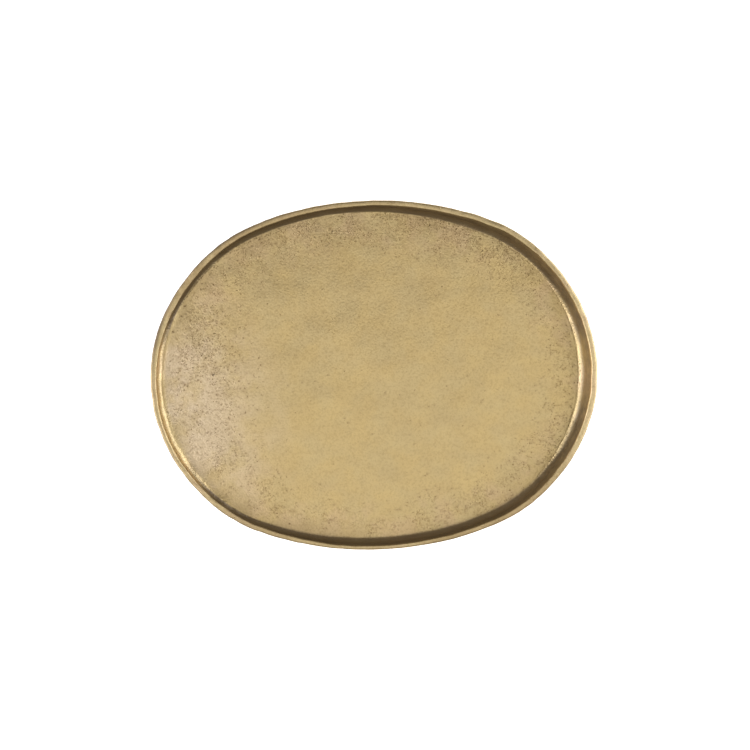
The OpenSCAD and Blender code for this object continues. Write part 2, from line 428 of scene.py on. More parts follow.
def cast_brass():
    material, tree = new_material("cast_brass_antiqued")
    at = brass_surface(tree)
    skin = dull_skin(tree, at)
    crowded = speck_crowding(tree, at, skin)
    speck = specks(tree, at, crowded)
    wall = wall_face(tree, at)
    wash = wash_left(tree, at, wall)

    olive = put(tree, "ShaderNodeMapRange", {0: at.olive, 1: 0.38, 2: 0.62})
    # the lip is painted paler: partly its polish, partly a painted highlight
    lip = put(tree, "ShaderNodeMapRange", {0: at.z, 1: LIP_Z - 2 * MM, 2: LIP_Z - 0.6 * MM})
    rosy = put(tree, "ShaderNodeMapRange", {0: at.rosy, 1: 0.46, 2: 0.62, 3: 0.0, 4: 0.4})
    rosy = put(tree, "ShaderNodeMath", {0: rosy, 1: skin}, operation="MULTIPLY")
    dry = put(tree, "ShaderNodeMapRange", {0: at.x, 1: 0.75 * HALF_LENGTH, 2: 0.98 * HALF_LENGTH})
    brown = put(tree, "ShaderNodeMix", {0: dry, 6: linear(BROWN_WASH), 7: linear(DRY_WASH)},
                data_type="RGBA").outputs[2]
    stain = put(tree, "ShaderNodeMath", {0: sunk_places(tree, at, crowded, speck), 1: 0.55},
                operation="MULTIPLY")
    colour = linear(YELLOW_BRASS)
    for share, layer in ((olive, linear(OLIVE_BRASS)), (lip, linear(LIP_BRASS_AND_HIGHLIGHT)), (rosy, linear(ROSY_SKIN)),
                         (pale_skin_and_reflection(tree, at), linear(PALE_SKIN_AND_REFLECTION)),
                         (thin_dirt_and_shade(tree, at, lip), linear(DULL_DIRT_AND_SHADE)),
                         (wash, brown), (stain, linear(PIT_STAIN))):
        colour = put(tree, "ShaderNodeMix", {0: share, 6: colour, 7: layer}, data_type="RGBA").outputs[2]

    bare = put(tree, "ShaderNodeMath", {0: wash, 1: -0.6, 2: 1.0}, operation="MULTIPLY_ADD")
    rough = put(tree, "ShaderNodeMapRange", {0: skin, 3: 0.3, 4: 0.36})
    for pattern, change in ((at.cloud, 0.06), (wall, -0.08), (at.pit, 0.35)):
        rough = put(tree, "ShaderNodeMath", {0: pattern, 1: change, 2: rough}, operation="MULTIPLY_ADD")
    sand = put(tree, "ShaderNodeMapRange", {0: skin, 3: at.grit, 4: 0.7})
    smoother = put(tree, "ShaderNodeMapRange", {0: at.foot_gap, 1: 3 * MM, 2: COVE_INSET, 3: 0.4, 4: 1.0})
    sand = put(tree, "ShaderNodeMath", {0: sand, 1: smoother}, operation="MULTIPLY")
    relief = put(tree, "ShaderNodeMath", {0: at.grain, 1: sand}, operation="MULTIPLY")
    relief = put(tree, "ShaderNodeMath", {0: speck, 1: -0.4, 2: relief}, operation="MULTIPLY_ADD")
    bump = put(tree, "ShaderNodeBump", {"Strength": 1.0, "Distance": 0.4 * MM, "Height": relief})
    shader = put(tree, "ShaderNodeBsdfPrincipled", {
        "Base Color": colour, "Metallic": bare, "Roughness": rough, "Normal": bump})
    put(tree, "ShaderNodeOutputMaterial", {"Surface": shader})
    return material


brass = cast_brass()
print("material:", brass.name, "with", len(brass.node_tree.nodes), "nodes")

# %% [markdown]
# ## Ground brass for the underside
#
# Nobody sees the underside, so it is only ground flat on a coarse belt before the pads go on. That leaves
# long shallow scratches, all one way. Real ones are about 0.2 mm wide. They are drawn at 0.6 mm, so that
# they still show in a render.

# %% Ground brass material
SCRATCH_MM = 0.6


def ground_brass():
    material, tree = new_material("ground_brass_underside")
    point = put(tree, "ShaderNodeTexCoord").outputs["Object"]
    along = put(tree, "ShaderNodeMapping", {"Vector": point, "Rotation": (0, 0, math.radians(14)),
                                            "Scale": (0.02 / (SCRATCH_MM * MM), 1 / (SCRATCH_MM * MM), 1)})
    scratch = put(tree, "ShaderNodeTexNoise", {"Vector": along, "Scale": 1.0, "Detail": 2})
    stain = put(tree, "ShaderNodeTexNoise", {"Vector": point, "Scale": 1 / (40 * MM), "Detail": 4})
    tarnish = put(tree, "ShaderNodeMapRange", {0: stain, 1: 0.35, 2: 0.65, 3: 0.0, 4: 0.7})
    aged = put(tree, "ShaderNodeMix", {0: tarnish, 6: linear("#BFA978"), 7: linear("#97825A")},
               data_type="RGBA")
    groove = put(tree, "ShaderNodeMapRange", {0: scratch, 1: 0.4, 2: 0.6, 3: 0.0, 4: 0.35})
    colour = put(tree, "ShaderNodeMix", {0: groove, 6: aged.outputs[2], 7: linear("#7C6842")},
                 data_type="RGBA")
    rough = put(tree, "ShaderNodeMapRange", {0: stain, 1: 0.3, 2: 0.7, 3: 0.38, 4: 0.55})
    bump = put(tree, "ShaderNodeBump", {"Strength": 0.4, "Distance": 0.1 * MM, "Height": scratch})
    shader = put(tree, "ShaderNodeBsdfPrincipled", {
        "Base Color": colour.outputs[2], "Metallic": 1.0, "Roughness": rough, "Normal": bump})
    put(tree, "ShaderNodeOutputMaterial", {"Surface": shader})
    return material


underside_brass = ground_brass()
print("material:", underside_brass.name, "with", len(underside_brass.node_tree.nodes), "nodes")

# %% [markdown]
# ## The section
#
# Wherever the casting is cut through, the cut is the same: floor, cove, leaning wall, lip, outer wall and
# underside. It is drawn once, as a curve that runs from the underside round the lip to the floor. Its x is
# measured outwards from a rail on the floor, and its y is the height. A few points lie on the flat floor
# beside the cove, so that the foot of the wall can be uneven later.


# %% Draw the section
def arc(centre, radius, start, end, steps):
    """Points along an arc. Its angles are in degrees from the x axis."""
    turns = [math.radians(start + (end - start) * i / steps) for i in range(steps + 1)]
    return [(centre[0] + radius * math.cos(t), centre[1] + radius * math.sin(t)) for t in turns]


def line(start, end, steps):
    """Points along a line, with neither of its ends."""
    return [tuple(s + (e - s) * i / steps for s, e in zip(start, end)) for i in range(1, steps)]


def casting_section():
    inner_x = RAIL_INSET - LIP_THICKNESS
    base_x = RAIL_INSET - WALL_LEAN - BASE_RADIUS
    cove_x = inner_x - WALL_LEAN - COVE_RADIUS
    cove_z = FLOOR_Z + COVE_RADIUS * math.cos(math.radians(FOOT_SLOPE))
    cove = arc((cove_x, cove_z), COVE_RADIUS, FOOT_SLOPE - 90, 0, 10)
    lip_in = arc((inner_x + LIP_INNER_RADIUS, LIP_Z - LIP_INNER_RADIUS), LIP_INNER_RADIUS, 180, 90, 4)
    lip_out = arc((RAIL_INSET - LIP_OUTER_RADIUS, LIP_Z - LIP_OUTER_RADIUS), LIP_OUTER_RADIUS, 90, 0, 5)
    base = arc((base_x, UNDERSIDE_Z + BASE_RADIUS), BASE_RADIUS, 0, -90, 4)
    beside_cove = (cove[0][0] - 0.4 * MM, FLOOR_Z)
    foot = [(0, FLOOR_Z)] + line((0, FLOOR_Z), cove[0], 7) + line(beside_cove, cove[0], 2)
    sole = line(base[-1], (0, UNDERSIDE_Z), 3) + [(0, UNDERSIDE_Z)]
    return (foot + cove + line(cove[-1], lip_in[0], 4) + lip_in + line(lip_in[-1], lip_out[0], 2)
            + lip_out + line(lip_out[-1], base[0], 4) + base + sole)


def draw_curve(name, points):
    """A curve through points. A sweep along a level rail turns its profile over, so it is drawn turned."""
    curve = bpy.data.curves.new(name, "CURVE")
    curve.dimensions = "3D"
    spline = curve.splines.new("POLY")
    spline.points.add(len(points) - 1)
    for spline_point, (x, y) in zip(spline.points, reversed(points)):
        spline_point.co = (-x, -y, 0, 1)
    drawn = bpy.data.objects.new(name, curve)
    bpy.context.collection.objects.link(drawn)
    return drawn


section = draw_curve("casting_section", casting_section())
print("section:", len(section.data.splines[0].points), "points")

# %% [markdown]
# ## The oval as a rule
#
# For any outward direction there is one point on an oval of four centres: start at the centre of that
# arc, and walk outwards by the arc's radius. A node group holds the rule. A rim that was finished by hand
# wanders off the drawn line by up to a millimetre, so the group adds a few slow waves. A second group
# runs the rule backwards, and gives the distance of any point from the rim and the way out to it.

# %% Node groups for the oval
# the number of waves round the rim, their height in mm, and the direction of one crest in degrees
RIM_WAVES = ((3, 0.19, -36), (4, 0.39, -6), (6, 0.36, -2), (8, 0.24, 22))


def new_tree(name, **sockets):
    """An empty Geometry Nodes tree. Each socket is named with its side and its type."""
    tree = bpy.data.node_groups.new(name, "GeometryNodeTree")
    for socket, (side, kind) in sockets.items():
        title = socket.replace("_", " ").title()
        tree.interface.new_socket(title, in_out=side, socket_type="NodeSocket" + kind)
    return tree, put(tree, "NodeGroupInput").outputs


def wander(tree, angle, length, waves):
    """A length with slow waves added that run round the rim."""
    for count, height_mm, crest in waves:
        phase = put(tree, "ShaderNodeMath", {0: angle, 1: count, 2: -math.radians(crest) * count},
                    operation="MULTIPLY_ADD")
        wave = put(tree, "ShaderNodeMath", {0: phase}, operation="COSINE")
        length = put(tree, "ShaderNodeMath", {0: wave, 1: height_mm * MM, 2: length},
                     operation="MULTIPLY_ADD")
    return length


def oval_point_group():
    tree, given = new_tree("oval_point", angle=("INPUT", "Float"), inset=("INPUT", "Float"),
                           position=("OUTPUT", "Vector"))
    cosine = put(tree, "ShaderNodeMath", {0: given["Angle"]}, operation="COSINE")
    sine = put(tree, "ShaderNodeMath", {0: given["Angle"]}, operation="SINE")
    outward = put(tree, "ShaderNodeCombineXYZ", {0: cosine, 1: sine})
    quadrant = put(tree, "ShaderNodeVectorMath", {0: outward}, operation="SIGN")
    steep = put(tree, "ShaderNodeMath", {0: cosine}, operation="ABSOLUTE")
    at_end = put(tree, "FunctionNodeCompare", {0: steep, 1: END_CENTRE_X / (SIDE_RADIUS - END_RADIUS)},
                 operation="GREATER_THAN")
    centre = put(tree, "GeometryNodeSwitch",
                 {0: at_end, 1: (0, -SIDE_CENTRE_Y, 0), 2: (END_CENTRE_X, 0, 0)}, input_type="VECTOR")
    placed = put(tree, "ShaderNodeVectorMath", {0: centre, 1: quadrant}, operation="MULTIPLY")
    radius = put(tree, "GeometryNodeSwitch", {0: at_end, 1: SIDE_RADIUS, 2: END_RADIUS}, input_type="FLOAT")
    reach = put(tree, "ShaderNodeMath", {0: radius, 1: given["Inset"]}, operation="SUBTRACT")
    reach = wander(tree, given["Angle"], reach, RIM_WAVES)
    walk = put(tree, "ShaderNodeVectorMath", {0: outward, "Scale": reach}, operation="SCALE")
    place = put(tree, "ShaderNodeVectorMath", {0: placed, 1: walk}, operation="ADD")
    put(tree, "NodeGroupOutput", {0: place})
    return tree


def rim_gap_group():
    tree, _ = new_tree("rim_gap", gap=("OUTPUT", "Float"), outward=("OUTPUT", "Vector"))
    place = put(tree, "GeometryNodeInputPosition")
    flat = put(tree, "ShaderNodeVectorMath", {0: place, 1: (1, 1, 0)}, operation="MULTIPLY")
    quadrant = put(tree, "ShaderNodeVectorMath", {0: flat}, operation="SIGN")
    folded = put(tree, "ShaderNodeVectorMath", {0: flat}, operation="ABSOLUTE")
    turn = put(tree, "ShaderNodeVectorMath", {0: folded, 1: (SIDE_CENTRE_Y, -END_CENTRE_X, 0)},
               operation="DOT_PRODUCT")
    at_end = put(tree, "FunctionNodeCompare", {0: turn.outputs["Value"], 1: END_CENTRE_X * SIDE_CENTRE_Y},
                 operation="GREATER_THAN")
    centre = put(tree, "GeometryNodeSwitch",
                 {0: at_end, 1: (0, -SIDE_CENTRE_Y, 0), 2: (END_CENTRE_X, 0, 0)}, input_type="VECTOR")
    radius = put(tree, "GeometryNodeSwitch", {0: at_end, 1: SIDE_RADIUS, 2: END_RADIUS}, input_type="FLOAT")
    arm = put(tree, "ShaderNodeVectorMath", {0: folded, 1: centre}, operation="SUBTRACT")
    length = put(tree, "ShaderNodeVectorMath", {0: arm}, operation="LENGTH")
    gap = put(tree, "ShaderNodeMath", {0: radius, 1: length.outputs["Value"]}, operation="SUBTRACT")
    unfolded = put(tree, "ShaderNodeVectorMath", {0: arm, 1: quadrant}, operation="MULTIPLY")
    outward = put(tree, "ShaderNodeVectorMath", {0: unfolded}, operation="NORMALIZE")
    put(tree, "NodeGroupOutput", {0: gap, 1: outward})
    return tree


oval_point = oval_point_group()
rim_gap = rim_gap_group()
print("oval rule:", len(oval_point.nodes), "nodes, and backwards:", len(rim_gap.nodes))

# %% [markdown]
# ## The form of the casting
#
# A square grid becomes the floor: each vertex keeps its direction, and each square ring of the grid turns
# into an oval one, so the faces are even and no pole is left in the middle. The border of that grid is the
# rail that the section is swept along, so the wall and the floor share their vertices. The underside is
# the same grid, lower and turned over.


# %% Geometry Nodes for the form
def end_tree(tree, geometry, material):
    """Closes a tree: instances become real, and the material is set."""
    real = put(tree, "GeometryNodeRealizeInstances", {0: geometry})
    coated = put(tree, "GeometryNodeSetMaterial", {"Geometry": real, "Material": material})
    put(tree, "NodeGroupOutput", {0: coated})


def oval_grid(tree, given):
    """A square grid, pulled into the oval that lies inside the wall."""
    across = put(tree, "ShaderNodeMath", {0: given["Faces Across"], 1: 1}, operation="ADD")
    grid = put(tree, "GeometryNodeMeshGrid", {0: 2.0, 1: 2.0, 2: across, 3: across})
    axes = put(tree, "ShaderNodeSeparateXYZ", {0: put(tree, "GeometryNodeInputPosition")}).outputs
    angle = put(tree, "ShaderNodeMath", {0: axes["Y"], 1: axes["X"]}, operation="ARCTAN2")
    wide = put(tree, "ShaderNodeMath", {0: axes["X"]}, operation="ABSOLUTE")
    tall = put(tree, "ShaderNodeMath", {0: axes["Y"]}, operation="ABSOLUTE")
    ring = put(tree, "ShaderNodeMath", {0: wide, 1: tall}, operation="MAXIMUM")
    edge = put(tree, "GeometryNodeGroup", node_tree=oval_point)
    tree.links.new(angle.outputs[0], edge.inputs["Angle"])
    tree.links.new(given["Rail Inset"], edge.inputs["Inset"])
    spread = put(tree, "ShaderNodeVectorMath", {0: edge, "Scale": ring}, operation="SCALE")
    return put(tree, "GeometryNodeSetPosition", {"Geometry": grid, "Position": spread})


def form_tree():
    tree, given = new_tree("casting_form", section=("INPUT", "Geometry"), faces_across=("INPUT", "Int"),
                           rail_inset=("INPUT", "Float"), floor_height=("INPUT", "Float"),
                           underside_height=("INPUT", "Float"), casting=("OUTPUT", "Geometry"))
    oval = oval_grid(tree, given)
    faces_beside = put(tree, "GeometryNodeInputMeshEdgeNeighbors")
    border = put(tree, "FunctionNodeCompare", {2: faces_beside, 3: 1}, data_type="INT", operation="EQUAL")
    rail = put(tree, "GeometryNodeMeshToCurve", {"Mesh": oval, "Selection": border})
    level = put(tree, "GeometryNodeSetCurveNormal", {"Curve": rail}, mode="Z_UP")
    wall = put(tree, "GeometryNodeCurveToMesh", {"Curve": level, "Profile Curve": given["Section"]})
    lift = put(tree, "ShaderNodeCombineXYZ", {2: given["Floor Height"]})
    floor = put(tree, "GeometryNodeTransform", {"Geometry": oval, "Translation": lift})
    drop = put(tree, "ShaderNodeCombineXYZ", {2: given["Underside Height"]})
    lowered = put(tree, "GeometryNodeTransform", {"Geometry": oval, "Translation": drop})
    underside = put(tree, "GeometryNodeFlipFaces", {"Mesh": lowered})
    shell = put(tree, "GeometryNodeJoinGeometry", {0: wall})
    tree.links.new(floor.outputs[0], shell.inputs[0])
    tree.links.new(underside.outputs[0], shell.inputs[0])
    welded = put(tree, "GeometryNodeMergeByDistance", {"Geometry": shell, "Distance": 0.01 * MM})
    end_tree(tree, welded, brass)
    return tree


def apply_tree(obj, tree, **inputs):
    """Runs a tree on an object, and gives the result as a plain mesh object in its place."""
    modifier = obj.modifiers.new("nodes", "NODES")
    modifier.node_group = tree
    sockets = {item.name: item.identifier for item in tree.interface.items_tree}
    for name, value in inputs.items():
        modifier[sockets[name.replace("_", " ").title()]] = value
    evaluated = obj.evaluated_get(bpy.context.evaluated_depsgraph_get())
    mesh = bpy.data.meshes.new_from_object(evaluated)
    bpy.data.objects.remove(obj)
    made = bpy.data.objects.new(tree.name, mesh)
    bpy.context.collection.objects.link(made)
    return made


def tell(obj):
    """Prints what a closed mesh measures."""
    shell = bmesh.new()
    shell.from_mesh(obj.data)
    open_edges = sum(not edge.is_manifold for edge in shell.edges)
    triangles = sum(len(face.verts) - 2 for face in shell.faces)
    volume = shell.calc_volume(signed=True) / 1e-6
    shell.free()
    print(f"{obj.name}: {triangles} triangles, {open_edges} open edges, {volume:.2f} cm3")


FACES_ACROSS = 96
casting = apply_tree(section, form_tree(), faces_across=FACES_ACROSS, rail_inset=RAIL_INSET,
                     floor_height=FLOOR_Z, underside_height=UNDERSIDE_Z)
tell(casting)

# %% [markdown]
# ## Finished by hand
#
# No line on a hand-finished casting is quite straight. The lip and the foot of the wall reach in further at
# some places than at others, the wall and the cove wave a little, and the floor is not quite flat. At both
# ends the lip is ground a little lower on the right. Along the foot of the wall there is a shallow crease at
# the right, where the sand gave way, and a low fillet at the left. All this could be sculpted, but as rules
# each fault keeps its own size, and one Set Position node adds up the moves. The underside is left flat,
# because it was ground and the pads sit on it.

# %% Reach of the lip and the foot
# the reach inwards on the whole, and its waves in the way of RIM_WAVES
LIP_REACH = 0.8 * MM
LIP_WAVES = ((1, 0.39, 72), (2, 0.41, -22), (4, 0.30, -33), (5, 0.16, 9), (6, 0.16, -13))
FOOT_REACH = 0.0
FOOT_WAVES = ((1, 1.34, 30), (2, 0.97, -3), (3, 0.23, 36), (4, 0.24, -11), (5, 0.25, -14))


def rim_reach_group():
    tree, _ = new_tree("rim_reach", lip=("OUTPUT", "Float"), foot=("OUTPUT", "Float"))
    axes = put(tree, "ShaderNodeSeparateXYZ", {0: put(tree, "GeometryNodeInputPosition")}).outputs
    angle = put(tree, "ShaderNodeMath", {0: axes["Y"], 1: axes["X"]}, operation="ARCTAN2")
    put(tree, "NodeGroupOutput", {0: wander(tree, angle, LIP_REACH, LIP_WAVES),
                                  1: wander(tree, angle, FOOT_REACH, FOOT_WAVES)})
    return tree


rim_reach = rim_reach_group()
print("reach of lip and foot:", len(rim_reach.nodes), "nodes")

# %% Small moves of the wall
WALL_WAVE_MM = 11


def wall_shake(tree, given, mm, gap):
    """The quick waves of the wall, in every direction."""
    quick = put(tree, "ShaderNodeTexNoise",
                {"Vector": mm, "W": given["Seed"], "Scale": 1 / WALL_WAVE_MM, "Detail": 2},
                noise_dimensions="4D")
    centred = put(tree, "ShaderNodeVectorMath", {0: quick.outputs["Color"], 1: (0.5, 0.5, 0.5)},
                  operation="SUBTRACT")
    shake = put(tree, "ShaderNodeVectorMath", {0: centred, "Scale": given["Wall Wave"]}, operation="SCALE")
    near_wall = put(tree, "ShaderNodeMapRange", {0: gap, 1: RAIL_INSET, 2: COVE_INSET, 3: 0.0, 4: 3.0})
    return put(tree, "ShaderNodeVectorMath", {0: shake, "Scale": near_wall}, operation="SCALE")


def reach_in(tree, rim, height):
    """The move towards the middle, which goes from the foot's reach to the lip's up the wall."""
    reach = put(tree, "GeometryNodeGroup", node_tree=rim_reach).outputs
    step = put(tree, "ShaderNodeMapRange", {0: height, 1: FLOOR_Z + 5 * MM, 2: LIP_Z,
                                            3: reach["Foot"], 4: reach["Lip"]})
    inner = put(tree, "ShaderNodeMapRange", {0: rim["Gap"], 1: 1.4 * MM, 2: 2.6 * MM, 3: 0.0, 4: -1.0})
    fading = put(tree, "ShaderNodeMapRange", {0: rim["Gap"], 1: RAIL_INSET, 2: COVE_INSET})
    for factor in (inner, fading):
        step = put(tree, "ShaderNodeMath", {0: step, 1: factor}, operation="MULTIPLY")
    return put(tree, "ShaderNodeVectorMath", {0: rim["Outward"], "Scale": step}, operation="SCALE")


def lip_tilt(tree, given, gap, way_x, height):
    """The rise of the lip's left side and the fall of its right side, at both ends."""
    across = put(tree, "ShaderNodeMath", {0: gap, 1: LIP_THICKNESS / 2}, operation="SUBTRACT")
    across = put(tree, "ShaderNodeMath", {0: across, 1: way_x}, operation="MULTIPLY")
    on_lip = put(tree, "ShaderNodeMapRange", {0: height, 1: LIP_Z - 2.5 * MM, 2: LIP_Z - 0.5 * MM,
                                              3: 0.0, 4: given["Lip Tilt"]})
    return put(tree, "ShaderNodeMath", {0: across, 1: on_lip}, operation="MULTIPLY")


print("waves of the wall:", WALL_WAVE_MM, "mm long")

# %% Crease and fillet at the foot
CREASE_HALF_WIDTH = 1.2 * MM
CREASE_OFF_FOOT = 0.8 * MM


def foot_crease(tree, given, slow, gap, way_x):
    """The depth of the crease at the right. The slow waves shift its line."""
    shifted = put(tree, "ShaderNodeMath", {0: slow, 1: 1 * MM, 2: gap}, operation="MULTIPLY_ADD")
    off_line = put(tree, "ShaderNodeMath", {0: shifted, 1: COVE_INSET + CREASE_OFF_FOOT},
                   operation="SUBTRACT")
    off_line = put(tree, "ShaderNodeMath", {0: off_line}, operation="ABSOLUTE")
    crease = put(tree, "ShaderNodeMapRange", {0: off_line, 1: CREASE_HALF_WIDTH, 2: 0.0},
                 interpolation_type="SMOOTHSTEP")
    rightwards = put(tree, "ShaderNodeMapRange", {0: way_x, 3: 0.0, 4: given["Crease Depth"]})
    return put(tree, "ShaderNodeMath", {0: crease, 1: rightwards}, operation="MULTIPLY")


def foot_fillet(tree, given, gap, way_x, height):
    """The height of the fillet at the left, which rises in a hollow curve and fades up the wall."""
    fade = put(tree, "ShaderNodeMapRange", {0: gap, 1: RAIL_INSET, 2: COVE_INSET})
    curve = put(tree, "ShaderNodeMath", {0: fade, 1: 2.0}, operation="POWER")
    up_wall = put(tree, "ShaderNodeMapRange", {0: height, 1: FLOOR_Z, 2: LIP_Z - 3 * MM, 3: 1.0, 4: 0.0})
    leftwards = put(tree, "ShaderNodeMapRange", {0: way_x, 1: -0.2, 2: -0.8, 3: 0.0,
                                                 4: given["Fillet Height"]}, interpolation_type="SMOOTHSTEP")
    fillet = put(tree, "ShaderNodeMath", {0: curve, 1: up_wall}, operation="MULTIPLY")
    return put(tree, "ShaderNodeMath", {0: fillet, 1: leftwards}, operation="MULTIPLY")


print("crease", CREASE_OFF_FOOT / MM, "mm inside the cove")

# %% Geometry Nodes for the hand finish
FINISH_SEED = 3.0
FLOOR_WAVE_MM = 45
FLOOR_WAVE = 0.35 * MM
WALL_WAVE = 0.45 * MM
LIP_TILT = 0.15
CREASE_DEPTH = 0.12 * MM
FILLET_HEIGHT = FOOT_BAND / 2 * math.tan(math.radians(FOOT_SLOPE))


def finish_tree():
    tree, given = new_tree("hand_finish", casting=("INPUT", "Geometry"), seed=("INPUT", "Float"),
                           floor_wave=("INPUT", "Float"), wall_wave=("INPUT", "Float"),
                           lip_tilt=("INPUT", "Float"), crease_depth=("INPUT", "Float"),
                           fillet_height=("INPUT", "Float"), finished=("OUTPUT", "Geometry"))
    place = put(tree, "GeometryNodeInputPosition")
    height = put(tree, "ShaderNodeSeparateXYZ", {0: place}).outputs["Z"]
    mm = put(tree, "ShaderNodeVectorMath", {0: place, "Scale": 1 / MM}, operation="SCALE")
    rim = put(tree, "GeometryNodeGroup", node_tree=rim_gap).outputs
    gap = rim["Gap"]
    way_x = put(tree, "ShaderNodeSeparateXYZ", {0: rim["Outward"]}).outputs["X"]

    # up and down
    slow = put(tree, "ShaderNodeTexNoise",
               {"Vector": mm, "W": given["Seed"], "Scale": 1 / FLOOR_WAVE_MM, "Detail": 2},
               noise_dimensions="4D")
    rise = put(tree, "ShaderNodeMapRange", {0: slow, 1: 0.3, 2: 0.7, 3: -1.0, 4: 1.0}, clamp=False)
    rise = put(tree, "ShaderNodeMath", {0: rise, 1: given["Floor Wave"]}, operation="MULTIPLY")
    rise = put(tree, "ShaderNodeMath", {0: rise, 1: foot_crease(tree, given, slow, gap, way_x)},
               operation="SUBTRACT")
    for more in (lip_tilt(tree, given, gap, way_x, height), foot_fillet(tree, given, gap, way_x, height)):
        rise = put(tree, "ShaderNodeMath", {0: rise, 1: more}, operation="ADD")

    # all the moves together, apart from the underside
    moved = wall_shake(tree, given, mm, gap)
    for more in (reach_in(tree, rim, height), put(tree, "ShaderNodeCombineXYZ", {2: rise})):
        moved = put(tree, "ShaderNodeVectorMath", {0: moved, 1: more}, operation="ADD")
    not_under = put(tree, "FunctionNodeCompare", {0: height, 1: UNDERSIDE_Z + BASE_RADIUS / 2},
                    operation="GREATER_THAN")
    placed = put(tree, "GeometryNodeSetPosition",
                 {"Geometry": given["Casting"], "Selection": not_under, "Offset": moved})
    end_tree(tree, placed, brass)
    return tree


casting = apply_tree(casting, finish_tree(), seed=FINISH_SEED, floor_wave=FLOOR_WAVE, wall_wave=WALL_WAVE,
                     lip_tilt=LIP_TILT, crease_depth=CREASE_DEPTH, fillet_height=FILLET_HEIGHT)
tell(casting)

# %% [markdown]
# ## Pits
#
# Gas and loose sand leave pits in the skin of a casting, most of them in a broad band inside the rim. A
# bump map could fake them, but then the mesh would be smooth, so they are cut. Points are scattered over
# the casting, small lumps are set on them, turned and sized by chance, and a Boolean takes the lumps away.
# It is done in two rounds. The lumps of one round keep apart, because a Boolean fails where they overlap
# inside the metal. The first ones are nearly round and the second ones are drawn out, and where a second
# pit runs into a first one the two are ragged, as pits from gas are. They lie densest in the crowd at the
# left and along the back, and thin out at the front and at the right end. The lumps carry an attribute into
# the pits that they leave, so that the material can darken them. A pit is shaded flat and its brink is
# sharp, which keeps the floor beside it flat too.

# %% Where the pits are
WALL_SHARE = 0.005
# how far from the rim the pits lie densest, where their band ends, and where it ends by the crowd
BAND_DENSE = 20 * MM
BAND_END = 50 * MM
BAND_END_BY_CROWD = 95 * MM


def pit_share(tree):
    """How much of the full number of pits there is at a place, where pits may be, and how large they are."""
    place = put(tree, "GeometryNodeInputPosition")
    axes = put(tree, "ShaderNodeSeparateXYZ", {0: place}).outputs
    gap = put(tree, "GeometryNodeGroup", node_tree=rim_gap).outputs["Gap"]
    mm = put(tree, "ShaderNodeVectorMath", {0: place, "Scale": 1 / MM}, operation="SCALE")
    cluster = put(tree, "ShaderNodeTexNoise", {"Vector": mm, "Scale": 1 / CLUSTER_MM, "Detail": 3})
    apart = from_crowd(tree, mm)
    least = put(tree, "ShaderNodeMapRange", {0: apart, 1: 45, 2: 15, 3: 0.05, 4: 0.6})
    share = put(tree, "ShaderNodeMapRange", {0: cluster, 1: 0.4, 2: 0.6, 3: least, 4: 1.0})

    # the band, which is broadest by the crowd, and has few pits by the foot of the wall at the left
    end = put(tree, "ShaderNodeMapRange", {0: apart, 1: CROWD_FAR_MM, 2: CROWD_NEAR_MM,
                                           3: BAND_END, 4: BAND_END_BY_CROWD})
    band = put(tree, "ShaderNodeMapRange", {0: gap, 1: end, 2: BAND_DENSE, 3: 0.02, 4: 1.0},
               interpolation_type="SMOOTHSTEP")
    rightwards = put(tree, "ShaderNodeMapRange", {0: axes["X"], 1: -0.6 * HALF_LENGTH, 2: 0.3 * HALF_LENGTH,
                                                  3: 0.05, 4: 0.75})
    at_back = put(tree, "ShaderNodeMapRange", {0: axes["Y"], 1: 0.4 * HALF_WIDTH, 2: 0.75 * HALF_WIDTH,
                                               3: rightwards, 4: 1.0})
    by_foot = put(tree, "ShaderNodeMapRange", {0: gap, 1: 16 * MM, 2: 30 * MM, 3: at_back, 4: 1.0})

    # the middle of the front has few pits, and so has the right end
    backwards = put(tree, "ShaderNodeMapRange", {0: axes["Y"], 1: -0.7 * HALF_WIDTH, 2: 0.0,
                                                 3: 0.25, 4: 1.0})
    aside = put(tree, "ShaderNodeMath", {0: axes["X"]}, operation="ABSOLUTE")
    aside = put(tree, "ShaderNodeMapRange", {0: aside, 1: 0.3 * HALF_LENGTH, 2: 0.7 * HALF_LENGTH})
    off_front = put(tree, "ShaderNodeMath", {0: backwards, 1: aside}, operation="MAXIMUM")
    for factor in (band, by_foot, off_front, calm_right(tree, place, 0.3)):
        share = put(tree, "ShaderNodeMath", {0: share, 1: factor}, operation="MULTIPLY")
    on_floor = put(tree, "FunctionNodeCompare", {0: gap, 1: COVE_INSET}, operation="GREATER_THAN")
    share = put(tree, "GeometryNodeSwitch", {0: on_floor, 1: WALL_SHARE, 2: share}, input_type="FLOAT")

    larger = put(tree, "ShaderNodeMapRange", {0: axes["Y"], 1: 0.3 * HALF_WIDTH, 2: 0.7 * HALF_WIDTH,
                                              3: 1.05, 4: 1.4})
    large = put(tree, "ShaderNodeMapRange", {0: apart, 1: 60, 2: 20, 3: larger, 4: 1.5})
    above = put(tree, "FunctionNodeCompare", {0: axes["Z"], 1: (UNDERSIDE_Z + FLOOR_Z) / 2},
                operation="GREATER_THAN")
    return share, above, large


print("clusters of pits:", CLUSTER_MM, "mm across")

# %% Lumps to cut with
LUMP_RISE = 0.68
LUMP_TURN = (0.3, 0.3, 44)
LUMP_LEAST = (0.6, 0.6, 0.4)
LUMP_SPREAD = (0.8, 0.8, 0.6)


